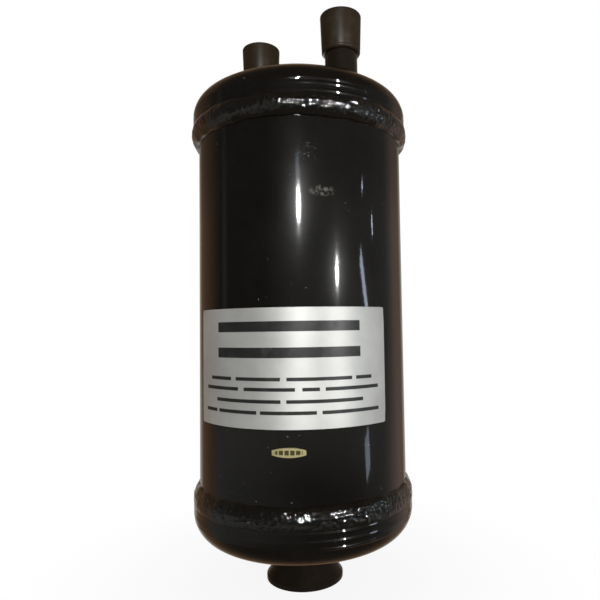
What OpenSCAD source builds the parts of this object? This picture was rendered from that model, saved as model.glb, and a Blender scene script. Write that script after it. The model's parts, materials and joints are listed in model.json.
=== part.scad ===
// Suction line accumulator: a welded steel vessel with two domed heads, two capped
// connection stubs on top, a flared mounting cup below and a U-tube inside.
// The origin is the centre of the cup's rim, +Z is up, and -Y is the labelled front.

/* [Shell] */
// Outside diameter of the straight shell
shell_d = 102; // [94:0.5:114]
// Wall of the shell
shell_wall = 3; // [2:0.1:4]
// Length between the tangent lines of the two heads
tangent_len = 192; // [170:1:260]
// Depth that each end of the shell reaches into a head, past the edge of its skirt
shell_lap = 7; // [4:0.1:8]

/* [Heads] */
// Wall of the pressed heads
head_wall = 2.7; // [2:0.1:4]
// Radial play between the skirts and the shell
head_fit = 0.1; // [0.05:0.05:0.3]
// Crown radius of the top head
top_crown_r = 95.8; // [85:0.1:150]
// Knuckle radius of the top head
top_knuckle_r = 10.7; // [8:0.1:16]
// Straight skirt of the top head
top_skirt = 10; // [8.2:0.1:14]
// Crown radius of the bottom head
bottom_crown_r = 180; // [110:1:220]
// Knuckle radius of the bottom head
bottom_knuckle_r = 14; // [8:0.1:18]
// Straight skirt of the bottom head
bottom_skirt = 8.4; // [8.2:0.1:14]

/* [Welds] */
// Length of a girth bead on the shell, from the edge of the skirt
weld_leg = 4.6; // [3:0.1:7]
// Length of a girth bead that laps over the skirt
weld_lap = 4.6; // [2:0.1:6]
// Height of the top girth bead above the straight line between its two toes
top_weld_rise = 2.2; // [1:0.1:3]
// Height of the bottom girth bead above the straight line between its two toes
bottom_weld_rise = 1.3; // [0.8:0.1:3]
// Ripples in a girth bead
weld_ripples = 144; // [90:1:160]
// Depth of the dips between ripples, as a share of the bead's height
ripple_depth = 0.15; // [0:0.05:0.4]
// Wander of a girth bead's toes
toe_wander = 0.5; // [0:0.05:0.8]
// Round profile of the fillet beads at the stubs and the cup
fillet_r = 2; // [1:0.1:3]
// Gap left between a bead, label or sticker and the surface that it lies on
seat = 0.02; // [0.01:0.01:0.05]

/* [Connections] */
// Distance between the two connection stubs
port_pitch = 53.7; // [48:0.1:60]
// Direction of the outlet stub, from +X
port_turn = -38.9; // [-60:0.1:0]
// Outside diameter of a stub
stub_d = 16; // [15.6:0.1:18]
// Height of a stub's end above the top of the head
stub_rise = 24.7; // [22:0.1:32]
// Depth of a stub's lower end below the top of the head
stub_drop = 22; // [18:0.5:30]
// Bore of the socket that takes the refrigerant line
socket_d = 12.8; // [11:0.1:13.2]
// Depth of that socket
socket_depth = 12; // [9:0.5:16]
// Bore of a stub between its sockets
stub_bore_d = 10.6; // [9:0.1:10.8]
// Depth of the inner socket that takes the tube inside the vessel
inner_socket_depth = 8; // [6:0.5:12]
// Chamfer at a stub's mouth
mouth_chamfer = 0.5; // [0.2:0.1:0.8]
// Radial play of a stub in the head
stub_fit = 0.1; // [0.05:0.05:0.2]

/* [Caps] */
// Height of a shipping cap
cap_h = 19.4; // [16:0.1:22]
// Diameter of a cap at its open rim
cap_rim_d = 19; // [18.6:0.1:20]
// Diameter of a cap at its closed end
cap_top_d = 20.4; // [19.6:0.1:22]
// Thickness of a cap's closed end
cap_roof = 1.8; // [1:0.1:3]
// Rounding of a cap's upper edge
cap_round = 1.2; // [0.5:0.1:1.6]
// Rounding of a cap's open rim
cap_lip = 0.5; // [0.3:0.1:0.6]
// Radial play of a cap on its stub
cap_fit = 0.08; // [0.03:0.01:0.1]

/* [Tubes inside] */
// Outside diameter of the U-tube and the inlet tube
tube_d = 12.7; // [12:0.1:13.4]
// Wall of both tubes
tube_wall = 1.2; // [0.8:0.1:1.8]
// Radial braze gap of a tube in its stub
braze_gap = 0.05; // [0.02:0.01:0.1]
// Centreline radius of the U-tube's bend
bend_r = 24; // [20:0.5:27]
// Angle between the U-tube's plane and the line of the stubs
bend_turn = 30; // [20:1:45]
// Depth of the U-tube's open mouth below the top tangent line
mouth_depth = 6; // [0:0.5:40]
// Length of the inlet tube, to the middle of its slanted mouth
inlet_len = 40; // [25:1:70]
// Diameter of the anti-siphon hole near the top of the outlet leg
siphon_d = 2.4; // [1:0.1:4]
// Height of the support plate above the bottom tangent line
plate_rise = 105; // [60:1:130]
// Thickness of the support plate
plate_t = 2; // [1:0.1:4]
// Radial play of the plate in the shell and of the legs in the plate
plate_fit = 0.15; // [0.05:0.05:0.3]
// Diameter of the drain cuts in the plate's edge
drain_d = 26; // [10:1:32]

/* [Oil return] */
// Gap between the strainer and the bottom head
sump_gap = 4; // [2:0.5:10]
// Outside diameter of the strainer
screen_d = 15; // [12:0.5:20]
// Length of the strainer between its two ends
screen_h = 9; // [6:0.5:16]
// Wall of the strainer
screen_wall = 0.6; // [0.4:0.1:1]
// Diameter of one strainer hole
screen_hole_d = 1.6; // [0.8:0.1:2.2]
// Thickness of the strainer's two ends
screen_end_t = 1.2; // [0.8:0.1:2]
// Diameter of the orifice fitting's stem
fitting_d = 7; // [5:0.1:9]
// Length of the stem between the bend and the strainer
fitting_h = 3; // [2:0.5:8]
// Bore of the orifice
orifice_d = 1.4; // [0.8:0.1:3]

/* [Mounting cup] */
// Height of the cup, from its rim to the bottom head
cup_h = 17.4; // [15:0.1:24]
// Diameter of the rim
cup_rim_d = 37.7; // [32:0.1:48]
// Height of the straight lip above the rim
cup_lip = 1.9; // [1:0.1:3]
// Diameter of the neck
cup_neck_d = 20; // [19:0.1:26]
// Length of the straight neck
cup_neck_h = 3.4; // [2:0.1:5]
// Wall of the cup
cup_wall = 1.5; // [1.2:0.1:1.8]
// Width of the weld nut across its flats
nut_af = 13; // [12:0.5:13.5]
// Height of the weld nut
nut_h = 6.5; // [4:0.1:8]
// Bore of the weld nut's thread
nut_bore_d = 6.8; // [5:0.1:8]
// Height of the chamfer on the nut's corners
nut_chamfer = 0.8; // [0.4:0.1:1.2]

/* [Label and sticker] */
// Width of the label along the shell
label_w = 97.8; // [60:0.1:120]
// Height of the label
label_h = 51; // [30:0.5:80]
// Height of the label's lower edge above the bottom tangent line
label_rise = 44.6; // [35:0.1:100]
// Direction of the label's middle, from the front, negative to the left
label_turn = -9.2; // [-40:0.1:40]
// Thickness of the label
label_t = 0.15; // [0.1:0.01:0.4]
// Width of the lens-shaped sticker
sticker_w = 14.4; // [8:0.1:20]
// Height of the sticker
sticker_h = 4.5; // [3:0.1:8]
// Height of the sticker's blunt ends
sticker_end_h = 2.2; // [1:0.1:2.8]
// Height of the sticker's middle above the bottom tangent line
sticker_rise = 35.2; // [25:0.1:40]
// Direction of the sticker's middle, from the front, negative to the left
sticker_turn = -6.9; // [-40:0.1:40]
// Thickness of the sticker
sticker_t = 0.15; // [0.1:0.01:0.4]

/* [Hidden] */
$fn = 96;
eps = 0.01;
front = -90;
outlet = 1;
inlet = -1;
paint = [0.07, 0.065, 0.06];
bare_steel = [0.62, 0.62, 0.6];
cap_grey = [0.2, 0.19, 0.17];
foil = [0.75, 0.75, 0.74];
gold = [0.78, 0.72, 0.42];
brass = [0.72, 0.58, 0.3];
bead_points = 6;
// Powers that give a bead its crisp toe on the shell and its soft toe on the skirt
shell_toe = 0.55;
skirt_toe = 0.85;
ripple_lag = 60;
rings_per_ripple = 2;
drain_cuts = 3;
screen_columns = 10;
screen_rows = 3;

shell_r = shell_d / 2;
shell_in_r = shell_r - shell_wall;
skirt_in_r = shell_r + head_fit;
skirt_r = skirt_in_r + head_wall;
stub_r = stub_d / 2;
tube_r = tube_d / 2;
tube_in_r = tube_r - tube_wall;
inner_socket_r = tube_r + braze_gap;

// Height of a dome's tangent line above the centre of its crown sphere
function crown_drop(r, knuckle, crown) = sqrt(pow(crown - knuckle, 2) - pow(r - knuckle, 2));
top_drop = crown_drop(skirt_r, top_knuckle_r, top_crown_r);
bottom_drop = crown_drop(skirt_r, bottom_knuckle_r, bottom_crown_r);

bottom_tangent_z = cup_h + bottom_crown_r - bottom_drop;
top_tangent_z = bottom_tangent_z + tangent_len;
top_crown_z = top_tangent_z - top_drop;
bottom_crown_z = bottom_tangent_z + bottom_drop;
top_apex_z = top_crown_z + top_crown_r;
top_edge_z = top_tangent_z - top_skirt;
bottom_edge_z = bottom_tangent_z + bottom_skirt;

port_r = port_pitch / 2;
port_tilt = asin(port_r / top_crown_r);
stub_end_z = top_apex_z + stub_rise;
stub_low_z = top_apex_z - stub_drop;
inner_seat_z = stub_low_z + inner_socket_depth;

// Middle of the U-tube's bend in the frame of the stubs, and its distance from the vessel's axis
bend_mid = [port_r - bend_r * cos(bend_turn), bend_r * sin(bend_turn)];
bend_axis_r = norm(bend_mid);
// Height of the bottom head's inner face at a distance from the vessel's axis
function floor_z(r) = bottom_crown_z - sqrt(pow(bottom_crown_r - head_wall, 2) - r * r);
screen_low_z = floor_z(bend_axis_r + screen_d / 2) + sump_gap;
screen_z = screen_low_z + screen_end_t;
flange_z = screen_z + screen_h;
stem_z = flange_z + screen_end_t;
bend_z = stem_z + fitting_h + tube_r + bend_r;
tube_mouth_z = top_tangent_z - mouth_depth;
plate_z = bottom_tangent_z + plate_rise;

cup_ceiling_z = cup_h - cup_wall;
cup_neck_z = cup_h - cup_neck_h;
cup_flare = atan2((cup_rim_d - cup_neck_d) / 2, cup_neck_z - cup_lip);

// Places its children on the axis of one of the two stubs
module at_port(side) {
    rotate(port_turn) translate([side * port_r, 0, 0]) children();
}

// Turns its children so that they lie in the U-tube's plane, with the outlet leg at x = bend_r
module in_bend_plane() {
    rotate(port_turn) translate(bend_mid) rotate(-bend_turn) children();
}

// Straight round tube between two heights
module tube(outer_r, inner_r, low, high) {
    translate([0, 0, low]) difference() {
        cylinder(r = outer_r, h = high - low);
        translate([0, 0, -eps]) cylinder(r = inner_r, h = high - low + 2 * eps);
    }
}

// Half section of a solid domed end: a straight skirt below the tangent line at y = 0,
// then the knuckle and the crown, which meet on the line through their two centres
module dome_half(r, knuckle, crown, skirt) {
    drop = crown_drop(r, knuckle, crown);
    translate([0, -skirt]) square([r, skirt]);
    intersection() {
        square([r, crown]);
        union() {
            translate([r - knuckle, 0]) circle(knuckle);
            intersection() {
                translate([0, -drop]) circle(crown);
                polygon([[0, -drop], [(r - knuckle) * 2, drop], [0, drop + crown]]);
            }
        }
    }
}

// Pressed head with its tangent line at z = 0 and its crown upwards
module pressed_head(knuckle, crown, skirt) {
    rotate_extrude() difference() {
        dome_half(skirt_r, knuckle, crown, skirt);
        dome_half(skirt_in_r, knuckle - head_wall, crown - head_wall, skirt + eps);
    }
}

// Solid ball of the top head's outer crown, for trimming what lies on it
module top_crown_ball() {
    translate([0, 0, top_crown_z]) sphere(r = top_crown_r + seat, $fn = 180);
}

module shell() {
    color(paint) tube(shell_r, shell_in_r, bottom_edge_z - shell_lap, top_edge_z + shell_lap);
}

module top_head() {
    color(paint) difference() {
        translate([0, 0, top_tangent_z]) pressed_head(top_knuckle_r, top_crown_r, top_skirt);
        for (side = [inlet, outlet])
            at_port(side) translate([0, 0, stub_low_z]) cylinder(r = stub_r + stub_fit, h = stub_drop + stub_rise);
    }
}

module bottom_head() {
    color(paint) translate([0, 0, bottom_tangent_z]) mirror([0, 0, 1])
        pressed_head(bottom_knuckle_r, bottom_crown_r, bottom_skirt);
}

// Uneven run of the bead's two toes round the vessel, between -1 and 1
function toe_drift(a) = (sin(5 * a + 40) + sin(13 * a) + sin(29 * a + 70)) / 3;

// Shape of a bead across its face, 0 at both toes
function swell(t) = pow(t, shell_toe) * pow(1 - t, skirt_toe);

// Point of a girth bead at an angle round the vessel, with the edge of the skirt at z = 0.
// t runs over the bead's face, from its toe on the shell to its toe on the skirt. crest is the
// bead's rise, and the ripples are crescents that lag behind towards both toes.
function bead_face(a, t, crest) = let (
        lobe = abs(cos(weld_ripples * a / 2 - ripple_lag * pow(2 * t - 1, 2))),
        rise = crest * swell(t) / swell(shell_toe / (shell_toe + skirt_toe)) * (1 - ripple_depth * (1 - lobe)),
        r = shell_r + seat + (skirt_r - shell_r) * t + rise,
        z = -weld_leg + (weld_leg + weld_lap) * t + toe_wander * toe_drift(a) * (2 * t - 1)
    ) [r * cos(a), r * sin(a), z];

// Closed section of the bead at an angle: its two seats at the skirt's edge, then its face
function bead_ring(a, crest) = concat(
    [for (r = [skirt_r + seat, shell_r + seat]) [r * cos(a), r * sin(a), -seat]],
    [for (i = [0:bead_points]) bead_face(a, i / bead_points, crest)]
);

// Rippled bead in the corner between the shell and the edge of a skirt above it
module girth_bead(crest) {
    rings = weld_ripples * rings_per_ripple;
    points = bead_points + 3;
    polyhedron(
        points = [for (i = [0:rings - 1]) each bead_ring(i * 360 / rings, crest)],
        faces = [for (i = [0:rings - 1], j = [0:points - 1], half = [0, 1])
            let (
                near = i * points,
                far = (i + 1) % rings * points,
                next = (j + 1) % points
            ) half == 0 ? [near + j, near + next, far + next] : [near + j, far + next, far + j]]
    );
}

module top_girth_weld() {
    color(paint) translate([0, 0, top_edge_z]) girth_bead(top_weld_rise);
}

module bottom_girth_weld() {
    color(paint) translate([0, 0, bottom_edge_z]) mirror([0, 0, 1]) girth_bead(bottom_weld_rise);
}

// Turned connection stub with a socket at each end
module stub(side) {
    color(paint) at_port(side) difference() {
        translate([0, 0, stub_low_z]) cylinder(r = stub_r, h = stub_end_z - stub_low_z);
        translate([0, 0, stub_low_z - eps]) cylinder(r = inner_socket_r, h = inner_socket_depth + eps);
        translate([0, 0, stub_low_z]) cylinder(d = stub_bore_d, h = stub_end_z - stub_low_z);
        translate([0, 0, stub_end_z - socket_depth]) cylinder(d = socket_d, h = socket_depth + eps);
        translate([0, 0, stub_end_z - mouth_chamfer])
            cylinder(d1 = socket_d, d2 = socket_d + 2 * mouth_chamfer, h = mouth_chamfer);
    }
}

module inlet_stub() {
    stub(inlet);
}

module outlet_stub() {
    stub(outlet);
}

// Round fillet bead that follows the slope of the head round a stub
module stub_weld(side) {
    color(paint) difference() {
        rotate(port_turn) translate([0, 0, top_crown_z]) rotate([0, side * port_tilt, 0])
            translate([0, 0, top_crown_r]) rotate_extrude() translate([stub_r / cos(port_tilt), 0]) circle(fillet_r);
        at_port(side) translate([0, 0, stub_low_z]) cylinder(r = stub_r + seat, h = stub_end_z - stub_low_z);
        top_crown_ball();
    }
}

module inlet_stub_weld() {
    stub_weld(inlet);
}

module outlet_stub_weld() {
    stub_weld(outlet);
}

// Half section of a shipping cap without its bore, its open rim at y = 0
module cap_half() {
    rim_r = cap_rim_d / 2;
    lean = atan2((cap_top_d - cap_rim_d) / 2, cap_h);
    // Centre of the rounded upper edge, which touches the leaning side and the flat end
    edge_y = cap_h - cap_round;
    edge_x = rim_r + edge_y * tan(lean) - cap_round / cos(lean);
    // Centre of the rounded rim, which touches the leaning side and the rim's plane
    lip_x = rim_r + cap_lip * tan(lean) - cap_lip / cos(lean);
    translate([edge_x, edge_y]) circle(cap_round);
    translate([lip_x, cap_lip]) circle(cap_lip);
    polygon([
        [0, 0],
        [lip_x, 0],
        [lip_x + cap_lip * cos(lean), cap_lip - cap_lip * sin(lean)],
        [edge_x + cap_round * cos(lean), edge_y - cap_round * sin(lean)],
        [edge_x, cap_h],
        [0, cap_h]
    ]);
}

// Tapered push-on cap, its closed end resting on the stub's end
module shipping_cap(side) {
    color(cap_grey) at_port(side) translate([0, 0, stub_end_z + cap_roof - cap_h]) rotate_extrude() difference() {
        cap_half();
        translate([0, -eps]) square([stub_r + cap_fit, cap_h - cap_roof + eps]);
    }
}

module inlet_cap() {
    shipping_cap(inlet);
}

module outlet_cap() {
    shipping_cap(outlet);
}

// Drop tube whose slanted mouth faces the shell's wall
module inlet_tube() {
    slant_z = inner_seat_z - inlet_len;
    color(bare_steel) at_port(inlet) difference() {
        tube(tube_r, tube_in_r, slant_z - tube_d, inner_seat_z);
        rotate([90, 0, 0]) linear_extrude(2 * tube_d, center = true)
            polygon([[-tube_d, slant_z + tube_d], [tube_d, slant_z - tube_d], [tube_d, slant_z - 2 * tube_d],
                [-tube_d, slant_z - 2 * tube_d]]);
    }
}

// Solid of the U-tube at a radius, from the outlet stub round the bend to its open mouth
module u_path(r, over) {
    in_bend_plane() {
        translate([bend_r, 0, bend_z]) cylinder(r = r, h = inner_seat_z - bend_z + over);
        translate([-bend_r, 0, bend_z]) cylinder(r = r, h = tube_mouth_z - bend_z + over);
        translate([0, 0, bend_z]) rotate([90, 0, 0]) rotate_extrude(angle = -180) translate([bend_r, 0]) circle(r);
    }
}

module u_tube() {
    color(bare_steel) difference() {
        u_path(tube_r, 0);
        u_path(tube_in_r, eps);
        in_bend_plane() translate([0, 0, stem_z]) cylinder(d = orifice_d, h = fitting_h + tube_r);
        in_bend_plane() translate([bend_r, 0, tube_mouth_z - tube_d]) rotate([0, 90, 0])
            cylinder(d = siphon_d, h = tube_d);
    }
}

module support_plate() {
    plate_r = shell_in_r - plate_fit;
    color(bare_steel) translate([0, 0, plate_z]) difference() {
        cylinder(r = plate_r, h = plate_t);
        for (leg = [-bend_r, bend_r])
            in_bend_plane() translate([leg, 0, -eps]) cylinder(r = tube_r + plate_fit, h = plate_t + 2 * eps);
        for (i = [0:drain_cuts - 1])
            in_bend_plane() rotate(-90 + (i - 1) * 60) translate([plate_r + bend_axis_r, 0, -eps])
                cylinder(d = drain_d, h = plate_t + 2 * eps);
    }
}

// Drilled stem under the bend, with the flange that carries the strainer
module orifice_fitting() {
    color(brass) difference() {
        in_bend_plane() translate([0, 0, flange_z]) {
            cylinder(d = screen_d, h = screen_end_t);
            cylinder(d = fitting_d, h = screen_end_t + fitting_h + tube_r);
        }
        in_bend_plane() translate([0, 0, flange_z - eps])
            cylinder(d = orifice_d, h = screen_end_t + fitting_h + tube_d);
        u_path(tube_r + seat, 0);
    }
}

module oil_screen() {
    pitch_z = screen_h / screen_rows;
    color(brass) in_bend_plane() difference() {
        tube(screen_d / 2, screen_d / 2 - screen_wall, screen_z, flange_z);
        for (row = [0:screen_rows - 1], column = [0:screen_columns - 1])
            translate([0, 0, screen_z + (row + 0.5) * pitch_z]) rotate((column + row / 2) * 360 / screen_columns)
                rotate([0, 90, 0]) cylinder(d = screen_hole_d, h = screen_d, $fn = 24);
    }
}

module screen_cap() {
    color(brass) in_bend_plane() translate([0, 0, screen_low_z]) cylinder(d = screen_d, h = screen_end_t);
}

// Flared pressed cup: a lip at the rim, a cone, and a closed neck that meets the head
module mounting_cup() {
    rim_r = cup_rim_d / 2;
    neck_r = cup_neck_d / 2;
    wall_x = cup_wall / cos(cup_flare);
    top_z = cup_h - seat;
    color(paint) rotate_extrude() polygon([
        [rim_r, 0], [rim_r, cup_lip], [neck_r, cup_neck_z], [neck_r, top_z], [0, top_z],
        [0, cup_ceiling_z], [neck_r - cup_wall, cup_ceiling_z],
        [neck_r - cup_wall, cup_neck_z - (wall_x - cup_wall) / tan(cup_flare)],
        [rim_r - wall_x, cup_lip], [rim_r - wall_x, 0]
    ]);
}

module mounting_nut() {
    corner_r = nut_af / 2 / cos(30);
    color(bare_steel) translate([0, 0, cup_ceiling_z - nut_h]) difference() {
        intersection() {
            cylinder(r = corner_r, h = nut_h, $fn = 6);
            cylinder(r1 = corner_r - nut_chamfer / tan(30), r2 = corner_r + (nut_h - nut_chamfer) / tan(30),
                h = nut_h);
        }
        translate([0, 0, -eps]) cylinder(d = nut_bore_d, h = nut_h + 2 * eps);
    }
}

// Round fillet bead between the cup's neck and the bottom head
module cup_weld() {
    neck_r = cup_neck_d / 2;
    color(paint) rotate_extrude() difference() {
        translate([neck_r, floor_z(neck_r) - head_wall]) circle(fillet_r);
        square([neck_r + seat, 2 * cup_h]);
        translate([0, bottom_crown_z]) circle(bottom_crown_r + seat, $fn = 720);
    }
}

module label() {
    span = label_w / shell_r * 180 / PI;
    color(foil) rotate(front + label_turn - span / 2) rotate_extrude(angle = span)
        translate([shell_r + seat, bottom_tangent_z + label_rise]) square([label_t, label_h]);
}

// Outline of the sticker: two equal arcs that cross, with the points cut off blunt
module sticker_outline() {
    sag = (sticker_h - sticker_end_h) / 2;
    arc_r = (pow(sticker_w / 2, 2) + sag * sag) / (2 * sag);
    intersection() {
        translate([0, sticker_h / 2 - arc_r]) circle(arc_r, $fn = 360);
        translate([0, arc_r - sticker_h / 2]) circle(arc_r, $fn = 360);
        square([sticker_w, sticker_h], center = true);
    }
}

module sticker() {
    color(gold) translate([0, 0, bottom_tangent_z + sticker_rise]) intersection() {
        tube(shell_r + seat + sticker_t, shell_r + seat, -sticker_h, sticker_h);
        rotate(sticker_turn) rotate([90, 0, 0]) linear_extrude(shell_d) sticker_outline();
    }
}

shell();
top_head();
bottom_head();
top_girth_weld();
bottom_girth_weld();
inlet_stub();
outlet_stub();
inlet_stub_weld();
outlet_stub_weld();
inlet_cap();
outlet_cap();
inlet_tube();
u_tube();
support_plate();
orifice_fitting();
oil_screen();
screen_cap();
mounting_cup();
mounting_nut();
cup_weld();
label();
sticker();
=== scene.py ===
"""Looks of a suction line accumulator, dressed over its packed CAD model.

A welded black steel vessel: gloss enamel, rippled girth beads, a silver foil label with plain
print, a gold sticker, grey push-on shipping caps and a flared foot. Every size is in metres, in
the CAD model's own frame: origin under the middle of the foot, +Z up, -Y towards the front.
"""

import json
import math
from functools import wraps

import bpy
from bpy.props import FloatProperty, FloatVectorProperty, IntProperty, PointerProperty
from mathutils import Matrix, Vector
from mathutils.noise import noise as lump_field

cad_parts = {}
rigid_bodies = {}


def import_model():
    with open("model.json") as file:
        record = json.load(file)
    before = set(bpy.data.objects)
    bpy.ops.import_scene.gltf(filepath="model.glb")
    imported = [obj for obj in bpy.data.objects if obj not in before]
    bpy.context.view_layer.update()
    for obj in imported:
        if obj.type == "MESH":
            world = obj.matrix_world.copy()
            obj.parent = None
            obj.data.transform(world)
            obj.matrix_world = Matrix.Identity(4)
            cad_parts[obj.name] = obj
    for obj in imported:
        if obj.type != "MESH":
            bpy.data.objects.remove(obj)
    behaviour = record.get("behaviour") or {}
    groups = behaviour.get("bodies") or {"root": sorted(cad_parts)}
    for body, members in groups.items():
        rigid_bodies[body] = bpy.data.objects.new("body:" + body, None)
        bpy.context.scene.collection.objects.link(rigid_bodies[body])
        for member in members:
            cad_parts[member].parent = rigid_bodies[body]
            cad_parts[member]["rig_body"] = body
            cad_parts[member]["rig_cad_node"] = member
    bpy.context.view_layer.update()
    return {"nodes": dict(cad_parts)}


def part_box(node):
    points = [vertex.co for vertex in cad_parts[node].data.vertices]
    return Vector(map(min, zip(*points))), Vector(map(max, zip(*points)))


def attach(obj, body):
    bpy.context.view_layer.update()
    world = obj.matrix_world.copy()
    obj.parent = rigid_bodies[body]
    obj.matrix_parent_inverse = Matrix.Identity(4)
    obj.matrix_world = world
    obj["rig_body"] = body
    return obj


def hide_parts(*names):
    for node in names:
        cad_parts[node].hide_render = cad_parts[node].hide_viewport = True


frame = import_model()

bl_info = {
    "name": "Suction line accumulator",
    "version": (1, 0, 0),
    "blender": (4, 5, 0),
    "location": "View3D > Sidebar > Accumulator",
    "description": "Dresses the accumulator's CAD model with its beads, print, finishes and stage",
    "category": "Add Mesh",
}

SHELL_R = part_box("shell")[1].x
SKIRT_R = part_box("top_head")[1].x
TOP_EDGE_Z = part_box("top_head")[0].z
BOTTOM_EDGE_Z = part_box("bottom_head")[1].z
LABEL_LOW, LABEL_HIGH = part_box("label")
STICKER_LOW, STICKER_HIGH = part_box("sticker")

MM = 0.001
# Vertices nearer than the first are merged, edges shorter than the second dissolved
MERGE, SLIVER = 1e-6, 1e-7


def number(name, description, default, **settings):
    """A number for the sidebar."""
    return FloatProperty(name=name, description=description, default=default, **settings)


def length(name, description, millimetres):
    """A length for the sidebar, written here in millimetres."""
    return number(name, description, millimetres * MM, unit="LENGTH", precision=5)


def angle(name, description, default):
    """An angle in radians for the sidebar."""
    return number(name, description, default, unit="ROTATION", subtype="ANGLE")


def share(name, description, default):
    """A number between 0 and 1 for the sidebar."""
    return number(name, description, default, min=0, max=1, subtype="FACTOR")


def paint(name, description, default):
    """A linear colour for the sidebar."""
    return FloatVectorProperty(name=name, description=description, default=default, size=3,
                               min=0, max=1, subtype="COLOR")


class BeadSizes(bpy.types.PropertyGroup):
    """Sizes of the welds."""

    leg: length("Leg", "Length of a girth bead on the shell", 4.6)
    lap: length("Lap", "Length of a girth bead on the skirt", 4.6)
    top_rise: length("Top rise", "Rise of the top girth bead above its toes' line", 2.2)
    bottom_rise: length("Bottom rise", "Rise of the bottom girth bead above that line", 1.3)
    wander: length("Wander", "Uneven run of a girth bead's toes", 0.5)
    seat: length("Seat", "Gap between a bead and what it lies on", 0.02)
    shell_toe: share("Shell toe", "Power of the toe on the shell, smaller for a crisper one", 0.55)
    skirt_toe: share("Skirt toe", "Power of the toe on the skirt, smaller for a crisper one", 0.85)
    dip: share("Dip", "Depth of the dips between ripples, as a share of the rise", 0.05)
    grains: length("Grains", "Height of the fine lumps on a girth bead", 0.30)
    swells: length("Swells", "Height of the wide lumps on a girth bead", 0.25)
    overlap: length("Overlap", "Height of the lump where a bead's run ends on its start", 0.6)
    ripples: IntProperty(name="Ripples", description="Ripples in a girth bead", default=144, min=24)
    lumps: length("Lumps", "Height of the lumps on the small fillet beads", 0.45)


class HeadSizes(bpy.types.PropertyGroup):
    """Sizes of the pressed heads."""

    top_crown: length("Top crown", "Radius of the top head's crown", 95.8)
    top_knuckle: length("Top knuckle", "Radius of the top head's knuckle", 10.7)
    top_skirt: length("Top skirt", "Height of the top head's straight skirt", 10.0)
    bottom_crown: length("Bottom crown", "Radius of the bottom head's crown", 180.0)
    bottom_knuckle: length("Bottom knuckle", "Radius of the bottom head's knuckle", 14.0)
    bottom_skirt: length("Bottom skirt", "Height of the bottom head's straight skirt", 8.4)
    wall: length("Wall", "Thickness of a head's wall", 2.7)
    play: length("Play", "Play of a stub in its hole", 0.1)
    mark: length("Mark", "Half the width of a press mark", 1.0)


class PrintSizes(bpy.types.PropertyGroup):
    """Sizes of the label's and the sticker's print."""

    label_turn: angle("Label turn", "Turn of its middle from the front", math.radians(-9.2))
    label_width: length("Label width", "Width of the label round the shell", 97.8)
    label_corner: length("Corner", "Rounding of the label's corners", 1.2)
    title_height: length("Title height", "Height of the two title bars", 4.4)
    line_height: length("Line height", "Height of the small bars", 1.5)
    sticker_turn: angle("Sticker turn", "Turn of its middle from the front", math.radians(-6.9))
    sticker_width: length("Sticker width", "Width of the sticker round the shell", 14.4)
    sticker_height: length("Sticker height", "Height of the sticker in its middle", 4.5)
    sticker_end: length("Sticker end", "Height of the sticker's blunt ends", 2.2)


class CapSizes(bpy.types.PropertyGroup):
    """Sizes of the shipping caps."""

    rim: length("Rim", "Diameter at the open rim", 19.0)
    top: length("Top", "Diameter at the closed end", 20.4)
    bore: length("Bore", "Diameter of the bore", 16.16)
    roof: length("Roof", "Thickness of the closed end", 1.8)
    edge: length("Edge", "Rounding of the closed end's edge", 0.6)
    lip: length("Lip", "Rounding of the open rim", 1.15)
    band: length("Band", "Height of the rolled band above the rim", 2.6)


class FinishColours(bpy.types.PropertyGroup):
    """Colours of the finishes, linear."""

    enamel: paint("Enamel", "Gloss enamel of the vessel", (0.0034, 0.0029, 0.0024))
    enamel_thin: paint("Enamel, thin", "Thin enamel on the stubs", (0.0090, 0.0060, 0.0037))
    scuff: paint("Scuff", "Paint rubbed dull and pale", (0.16, 0.15, 0.13))
    foot: paint("Foot", "Satin paint of the foot", (0.0088, 0.0064, 0.0042))
    plastic: paint("Plastic", "Shipping caps", (0.0215, 0.0138, 0.0065))
    plastic_dust: paint("Plastic dust", "Dust and mould bloom on the caps", (0.036, 0.032, 0.021))
    foil: paint("Foil", "Silver foil of the label", (0.70, 0.705, 0.68))
    ink: paint("Ink", "Print on the label", (0.012, 0.013, 0.012))
    gold: paint("Gold", "Foil of the sticker", (0.70, 0.62, 0.33))
    gold_print: paint("Gold print", "Border and marks on the sticker", (0.115, 0.095, 0.025))
    steel: paint("Steel", "Bare steel of the inner tubes and the nut", (0.52, 0.52, 0.50))
    brass: paint("Brass", "Brass of the oil return fitting", (0.70, 0.53, 0.26))
    floor: paint("Floor", "Pale floor", (0.90, 0.90, 0.90))


class StageSettings(bpy.types.PropertyGroup):
    """Camera, lamps and room."""

    eye: FloatVectorProperty(name="Eye", description="Place of the camera", size=3, unit="LENGTH",
                             subtype="XYZ", default=(0.0, -0.27761, 0.12275), precision=5)
    pan: angle("Pan", "Turn of the camera about the upright", -0.0551)
    tilt: angle("Tilt", "Tilt of the camera above level", 0.0520)
    roll: angle("Roll", "Roll of the camera", -0.0151)
    lens: number("Lens", "Focal length in millimetres", 32.40)
    shift: number("Shift", "Sideways shift of the frame", -0.0526)
    lamp_distance: length("Lamp distance", "Distance of the lamps from the vessel", 1200)
    lamp_size: length("Lamp size", "Diameter of the larger round lamps", 70)
    lamp_power: number("Lamp power", "Power of the strongest round lamp", 8.0, unit="POWER")
    room_light: number("Room light", "Strength of the soft light from all round", 0.32)


GROUPS = {
    "accumulator_beads": BeadSizes,
    "accumulator_heads": HeadSizes,
    "accumulator_print": PrintSizes,
    "accumulator_caps": CapSizes,
    "accumulator_colours": FinishColours,
    "accumulator_stage": StageSettings,
}


# Modelling helpers


def deselect():
    """Leaves nothing selected, so that an operator acts only on the new piece."""
    bpy.ops.object.select_all(action="DESELECT")


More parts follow.
